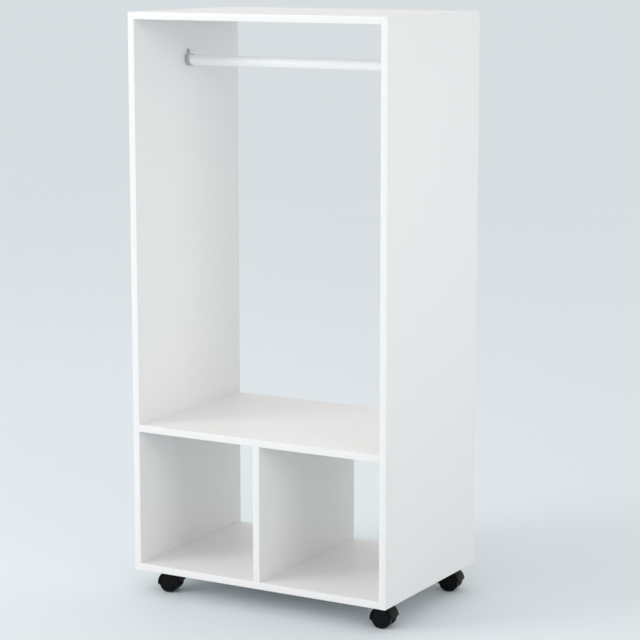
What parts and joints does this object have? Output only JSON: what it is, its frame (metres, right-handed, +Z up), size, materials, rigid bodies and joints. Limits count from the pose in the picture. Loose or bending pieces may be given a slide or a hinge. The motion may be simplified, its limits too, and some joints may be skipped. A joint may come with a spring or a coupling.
{
  "type": "rolling clothes rack",
  "caption": "Open white wardrobe rack on swivel casters: a hanging rail under the top, a shelf below it and two open cubes at the bottom.",
  "frame": {"origin": "on the floor, under the middle of the carcass", "axes": "+Z up, the open front faces -Y, +X to the right of somebody facing the front"},
  "size_m": [0.6, 0.4, 1.221],
  "materials": {
    "white_board": "satin",
    "white_edging": "satin",
    "white_rail": "gloss",
    "bracket_steel": "satin",
    "cam_zinc": "matte",
    "zinc_steel": "satin",
    "beech": "matte",
    "black_screw": "satin",
    "black_plate": "satin",
    "washer_plastic": "matte",
    "hood_plastic": "satin",
    "wheel_plastic": "satin"
  },
  "bodies": {
    "carcass": {"bottom_edging": "white_edging", "bottom_panel": "white_board", "cam_bolts": "zinc_steel", "cam_locks": "cam_zinc", "caster_plate_front_left": "black_plate", "caster_plate_front_right": "black_plate", "caster_plate_rear_left": "black_plate", "caster_plate_rear_right": "black_plate", "caster_screws": "black_screw", "divider_edging": "white_edging", "divider_panel": "white_board", "divider_screws": "zinc_steel", "left_side_edging": "white_edging", "left_side_panel": "white_board", "rail_bracket_left": "bracket_steel", "rail_bracket_right": "bracket_steel", "rail_bracket_screws": "bracket_steel", "retaining_ring_front_left": "zinc_steel", "retaining_ring_front_right": "zinc_steel", "retaining_ring_rear_left": "zinc_steel", "retaining_ring_rear_right": "zinc_steel", "right_side_edging": "white_edging", "right_side_panel": "white_board", "shelf_edging": "white_edging", "shelf_panel": "white_board", "swivel_pin_front_left": "zinc_steel", "swivel_pin_front_right": "zinc_steel", "swivel_pin_rear_left": "zinc_steel", "swivel_pin_rear_right": "zinc_steel", "top_edging": "white_edging", "top_panel": "white_board", "wooden_dowels": "beech"},
    "hanging_rail": {"hanging_rail": "white_rail"},
    "caster_front_left": {"wheel_hood_front_left": "hood_plastic", "wheel_axle_front_left": "zinc_steel", "thrust_washer_front_left": "washer_plastic"},
    "front_wheel_front_left": {"front_wheel_front_left": "wheel_plastic"},
    "rear_wheel_front_left": {"rear_wheel_front_left": "wheel_plastic"},
    "caster_front_right": {"wheel_hood_front_right": "hood_plastic", "wheel_axle_front_right": "zinc_steel", "thrust_washer_front_right": "washer_plastic"},
    "front_wheel_front_right": {"front_wheel_front_right": "wheel_plastic"},
    "rear_wheel_front_right": {"rear_wheel_front_right": "wheel_plastic"},
    "caster_rear_left": {"wheel_hood_rear_left": "hood_plastic", "wheel_axle_rear_left": "zinc_steel", "thrust_washer_rear_left": "washer_plastic"},
    "front_wheel_rear_left": {"front_wheel_rear_left": "wheel_plastic"},
    "rear_wheel_rear_left": {"rear_wheel_rear_left": "wheel_plastic"},
    "caster_rear_right": {"wheel_hood_rear_right": "hood_plastic", "wheel_axle_rear_right": "zinc_steel", "thrust_washer_rear_right": "washer_plastic"},
    "front_wheel_rear_right": {"front_wheel_rear_right": "wheel_plastic"},
    "rear_wheel_rear_right": {"rear_wheel_rear_right": "wheel_plastic"}
  },
  "joints": [
    {"name": "rail_lift", "type": "slide", "parent": "carcass", "child": "hanging_rail", "axis": [0, 0, 1], "range_m": [0, 0.06]},
    {"name": "swivel_front_left", "type": "hinge", "parent": "carcass", "child": "caster_front_left", "pos_m": [-0.2565, -0.15, 0.049], "axis": [0, 0, 1], "continuous": true},
    {"name": "front_wheel_spin_front_left", "type": "hinge", "parent": "caster_front_left", "child": "front_wheel_front_left", "pos_m": [-0.24276, -0.14733, 0.021], "axis": [-0.1908, 0.9816, 0], "continuous": true},
    {"name": "rear_wheel_spin_front_left", "type": "hinge", "parent": "caster_front_left", "child": "rear_wheel_front_left", "pos_m": [-0.24276, -0.14733, 0.021], "axis": [-0.1908, 0.9816, 0], "continuous": true},
    {"name": "swivel_front_right", "type": "hinge", "parent": "carcass", "child": "caster_front_right", "pos_m": [0.2565, -0.15, 0.049], "axis": [0, 0, 1], "continuous": true},
    {"name": "front_wheel_spin_front_right", "type": "hinge", "parent": "caster_front_right", "child": "front_wheel_front_right", "pos_m": [0.27047, -0.14902, 0.021], "axis": [-0.0698, 0.9976, 0], "continuous": true},
    {"name": "rear_wheel_spin_front_right", "type": "hinge", "parent": "caster_front_right", "child": "rear_wheel_front_right", "pos_m": [0.27047, -0.14902, 0.021], "axis": [-0.0698, 0.9976, 0], "continuous": true},
    {"name": "swivel_rear_left", "type": "hinge", "parent": "carcass", "child": "caster_rear_left", "pos_m": [-0.2565, 0.15, 0.049], "axis": [0, 0, 1], "continuous": true},
    {"name": "front_wheel_spin_rear_left", "type": "hinge", "parent": "caster_rear_left", "child": "front_wheel_rear_left", "pos_m": [-0.24258, 0.14854, 0.021], "axis": [0.1045, 0.9945, 0], "continuous": true},
    {"name": "rear_wheel_spin_rear_left", "type": "hinge", "parent": "caster_rear_left", "child": "rear_wheel_rear_left", "pos_m": [-0.24258, 0.14854, 0.021], "axis": [0.1045, 0.9945, 0], "continuous": true},
    {"name": "swivel_rear_right", "type": "hinge", "parent": "carcass", "child": "caster_rear_right", "pos_m": [0.2565, 0.15, 0.049], "axis": [0, 0, 1], "continuous": true},
    {"name": "front_wheel_spin_rear_right", "type": "hinge", "parent": "caster_rear_right", "child": "front_wheel_rear_right", "pos_m": [0.2704, 0.15171, 0.021], "axis": [-0.1219, 0.9925, 0], "continuous": true},
    {"name": "rear_wheel_spin_rear_right", "type": "hinge", "parent": "caster_rear_right", "child": "rear_wheel_rear_right", "pos_m": [0.2704, 0.15171, 0.021], "axis": [-0.1219, 0.9925, 0], "continuous": true}
  ]
}
